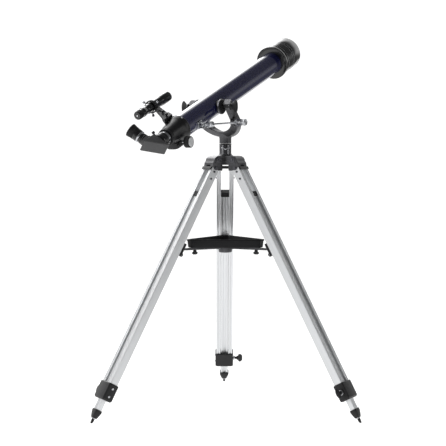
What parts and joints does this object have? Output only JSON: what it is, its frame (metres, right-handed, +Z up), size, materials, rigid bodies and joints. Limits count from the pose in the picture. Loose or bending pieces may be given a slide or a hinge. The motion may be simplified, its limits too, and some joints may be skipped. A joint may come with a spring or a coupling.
{
  "type": "telescope on tripod",
  "caption": "Refractor telescope with star diagonal and finder on a leaning yoke mount, carried by a telescoping aluminium tripod with a triangular tray.",
  "frame": {"origin": "centre of the overall bounding box in X and Y, on the floor", "axes": "+Z up; one leg points along +Y; +X to the right of it; the tube heads 30 degrees right of +Y"},
  "size_m": [0.7386, 0.7802, 1.0858],
  "materials": {
    "aluminium": "satin anodised",
    "chrome": "polished",
    "black": "fine matt",
    "gloss_black": "gloss",
    "casting": "textured powder coat",
    "navy": "gloss enamel",
    "lens": "coated lens"
  },
  "bodies": {
    "tripod": {"tripod_hub": "casting", "brace_spider": "casting", "accessory_tray": "black", "rail_a_far": "aluminium", "rail_b_far": "aluminium", "leg_cap_far": "black", "leg_clamp_far": "black", "brace_clip_far": "black", "rail_a_left": "aluminium", "rail_b_left": "aluminium", "leg_cap_left": "black", "leg_clamp_left": "black", "brace_clip_left": "black", "rail_a_right": "aluminium", "rail_b_right": "aluminium", "leg_cap_right": "black", "leg_clamp_right": "black", "brace_clip_right": "black"},
    "leg_far": {"inner_leg_far": "aluminium", "foot_far": "black"},
    "leg_left": {"inner_leg_left": "aluminium", "foot_left": "black"},
    "leg_right": {"inner_leg_right": "aluminium", "foot_right": "black"},
    "leg_lock_far": {"leg_lock_far": "black"},
    "leg_lock_left": {"leg_lock_left": "black"},
    "leg_lock_right": {"leg_lock_right": "black"},
    "tray_nut_far": {"tray_nut_far": "black"},
    "tray_nut_left": {"tray_nut_left": "black"},
    "tray_nut_right": {"tray_nut_right": "black"},
    "azimuth_lock": {"azimuth_lock": "chrome"},
    "head": {"yoke": "casting"},
    "altitude_knob_right": {"altitude_knob_right": "black"},
    "altitude_knob_left": {"altitude_knob_left": "black"},
    "tube": {"main_tube": "navy", "dew_cap": "gloss_black", "lens_cell": "black", "objective_lens": "lens", "focuser_body": "gloss_black", "pivot_disc_right": "black", "pivot_disc_left": "black", "rod_clevis": "chrome", "finder_bracket": "casting"},
    "rod": {"slow_motion_rod": "chrome"},
    "fine_nut": {"fine_adjust_nut": "chrome"},
    "rod_post": {"rod_post": "chrome"},
    "rod_lock": {"rod_lock": "chrome"},
    "drawtube": {"drawtube": "chrome"},
    "focus": {"focus_shaft": "chrome", "focus_knob_right": "black", "focus_knob_left": "black"},
    "drawtube_screw": {"drawtube_screw": "chrome"},
    "diagonal": {"star_diagonal": "casting"},
    "diagonal_screw": {"diagonal_screw": "black"},
    "eyepiece": {"eyepiece": "black"},
    "finder": {"finder_scope": "gloss_black"},
    "finder_screw_1": {"finder_screw_1": "chrome"},
    "finder_screw_2": {"finder_screw_2": "chrome"},
    "finder_screw_3": {"finder_screw_3": "chrome"}
  },
  "joints": [
    {"name": "azimuth_turn", "type": "hinge", "parent": "tripod", "child": "head", "pos_m": [0, -0.03587, 0.76], "axis": [0, 0, 1], "continuous": true},
    {"name": "azimuth_lock_turn", "type": "hinge", "parent": "tripod", "child": "azimuth_lock", "pos_m": [0, -0.06287, 0.747], "axis": [0, -1, 0], "continuous": true},
    {"name": "leg_extend_far", "type": "slide", "parent": "tripod", "child": "leg_far", "axis": [0, 0.4805, -0.877], "range_m": [-0.02, 0.4]},
    {"name": "leg_extend_left", "type": "slide", "parent": "tripod", "child": "leg_left", "axis": [-0.4161, -0.2402, -0.877], "range_m": [-0.02, 0.4]},
    {"name": "leg_extend_right", "type": "slide", "parent": "tripod", "child": "leg_right", "axis": [0.4161, -0.2402, -0.877], "range_m": [-0.02, 0.4]},
    {"name": "leg_lock_turn_far", "type": "hinge", "parent": "tripod", "child": "leg_lock_far", "pos_m": [0.04, 0.34173, 0.08288], "axis": [1, 0, 0], "continuous": true},
    {"name": "leg_lock_turn_left", "type": "hinge", "parent": "tripod", "child": "leg_lock_left", "pos_m": [-0.34701, -0.19003, 0.08288], "axis": [-0.5, 0.866, 0], "continuous": true},
    {"name": "leg_lock_turn_right", "type": "hinge", "parent": "tripod", "child": "leg_lock_right", "pos_m": [0.30701, -0.25931, 0.08288], "axis": [-0.5, -0.866, 0], "continuous": true},
    {"name": "tray_nut_turn_far", "type": "hinge", "parent": "tripod", "child": "tray_nut_far", "pos_m": [0, 0.06413, 0.45], "axis": [0, 0, -1], "continuous": true},
    {"name": "tray_nut_turn_left", "type": "hinge", "parent": "tripod", "child": "tray_nut_left", "pos_m": [-0.0866, -0.08587, 0.45], "axis": [0, 0, -1], "continuous": true},
    {"name": "tray_nut_turn_right", "type": "hinge", "parent": "tripod", "child": "tray_nut_right", "pos_m": [0.0866, -0.08587, 0.45], "axis": [0, 0, -1], "continuous": true},
    {"name": "altitude_tilt", "type": "hinge", "parent": "head", "child": "tube", "pos_m": [-0.045, -0.11381, 0.861], "axis": [0.866, -0.5, 0], "range_deg": [-20, 25]},
    {"name": "altitude_knob_turn_right", "type": "hinge", "parent": "head", "child": "altitude_knob_right", "pos_m": [0.01562, -0.14881, 0.861], "axis": [0.866, -0.5, 0], "continuous": true},
    {"name": "altitude_knob_turn_left", "type": "hinge", "parent": "head", "child": "altitude_knob_left", "pos_m": [-0.10562, -0.07881, 0.861], "axis": [-0.866, 0.5, 0], "continuous": true},
    {"name": "rod_swing", "type": "hinge", "parent": "tube", "child": "rod", "pos_m": [-0.06497, -0.23239, 0.80846], "axis": [0.866, -0.5, 0], "range_deg": [-6, 6]},
    {"name": "fine_nut_turn", "type": "hinge", "parent": "rod", "child": "fine_nut", "pos_m": [-0.04404, -0.21099, 0.81042], "axis": [0.6976, 0.7135, 0.0656], "continuous": true},
    {"name": "post_swivel", "type": "hinge", "parent": "head", "child": "rod_post", "pos_m": [0.03655, -0.12856, 0.818], "axis": [0.866, -0.5, 0], "range_deg": [-28, 28]},
    {"name": "rod_lock_turn", "type": "hinge", "parent": "rod_post", "child": "rod_lock", "pos_m": [0.05041, -0.13656, 0.818], "axis": [0.866, -0.5, 0], "continuous": true},
    {"name": "focus_travel", "type": "slide", "parent": "tube", "child": "drawtube", "axis": [-0.4673, -0.8093, -0.3559], "range_m": [-0.007, 0.045]},
    {"name": "focus_turn", "type": "hinge", "parent": "tube", "child": "focus", "pos_m": [-0.13701, -0.27317, 0.76256], "axis": [0.866, -0.5, 0], "range_deg": [-110, 400]},
    {"name": "drawtube_screw_turn", "type": "hinge", "parent": "drawtube", "child": "drawtube_screw", "pos_m": [-0.18805, -0.33759, 0.78219], "axis": [-0.5871, -0.0169, 0.8093], "continuous": true},
    {"name": "diagonal_turn", "type": "hinge", "parent": "drawtube", "child": "diagonal", "pos_m": [-0.19032, -0.36551, 0.75031], "axis": [0.4673, 0.8093, 0.3559], "continuous": true},
    {"name": "diagonal_screw_turn", "type": "hinge", "parent": "diagonal", "child": "diagonal_screw", "pos_m": [-0.20275, -0.34371, 0.77325], "axis": [0.4673, 0.8093, 0.3559], "continuous": true},
    {"name": "eyepiece_slide", "type": "slide", "parent": "diagonal", "child": "eyepiece", "axis": [-0.792, 0.2042, 0.5753], "range_m": [0, 0.025]},
    {"name": "finder_aim", "type": "hinge", "parent": "tube", "child": "finder", "pos_m": [-0.20215, -0.20241, 0.85856], "axis": [0.866, -0.5, 0], "range_deg": [-1.5, 1.5]},
    {"name": "finder_screw_turn_1", "type": "hinge", "parent": "tube", "child": "finder_screw_1", "pos_m": [-0.18992, -0.21327, 0.86721], "axis": [0.661, -0.5871, 0.4673], "continuous": true},
    {"name": "finder_screw_turn_2", "type": "hinge", "parent": "tube", "child": "finder_screw_2", "pos_m": [-0.19886, -0.19671, 0.84128], "axis": [0.178, 0.3082, -0.9345], "continuous": true},
    {"name": "finder_screw_turn_3", "type": "hinge", "parent": "tube", "child": "finder_screw_3", "pos_m": [-0.21767, -0.19725, 0.86721], "axis": [-0.839, 0.2789, 0.4673], "continuous": true}
  ],
  "couplings": [
    {"joint": "rod_swing", "follows": "altitude_tilt", "ratio": -0.16},
    {"joint": "post_swivel", "follows": "altitude_tilt", "ratio": 0.84},
    {"joint": "focus_turn", "follows": "focus_travel", "rad_per_m": 151.52}
  ]
}
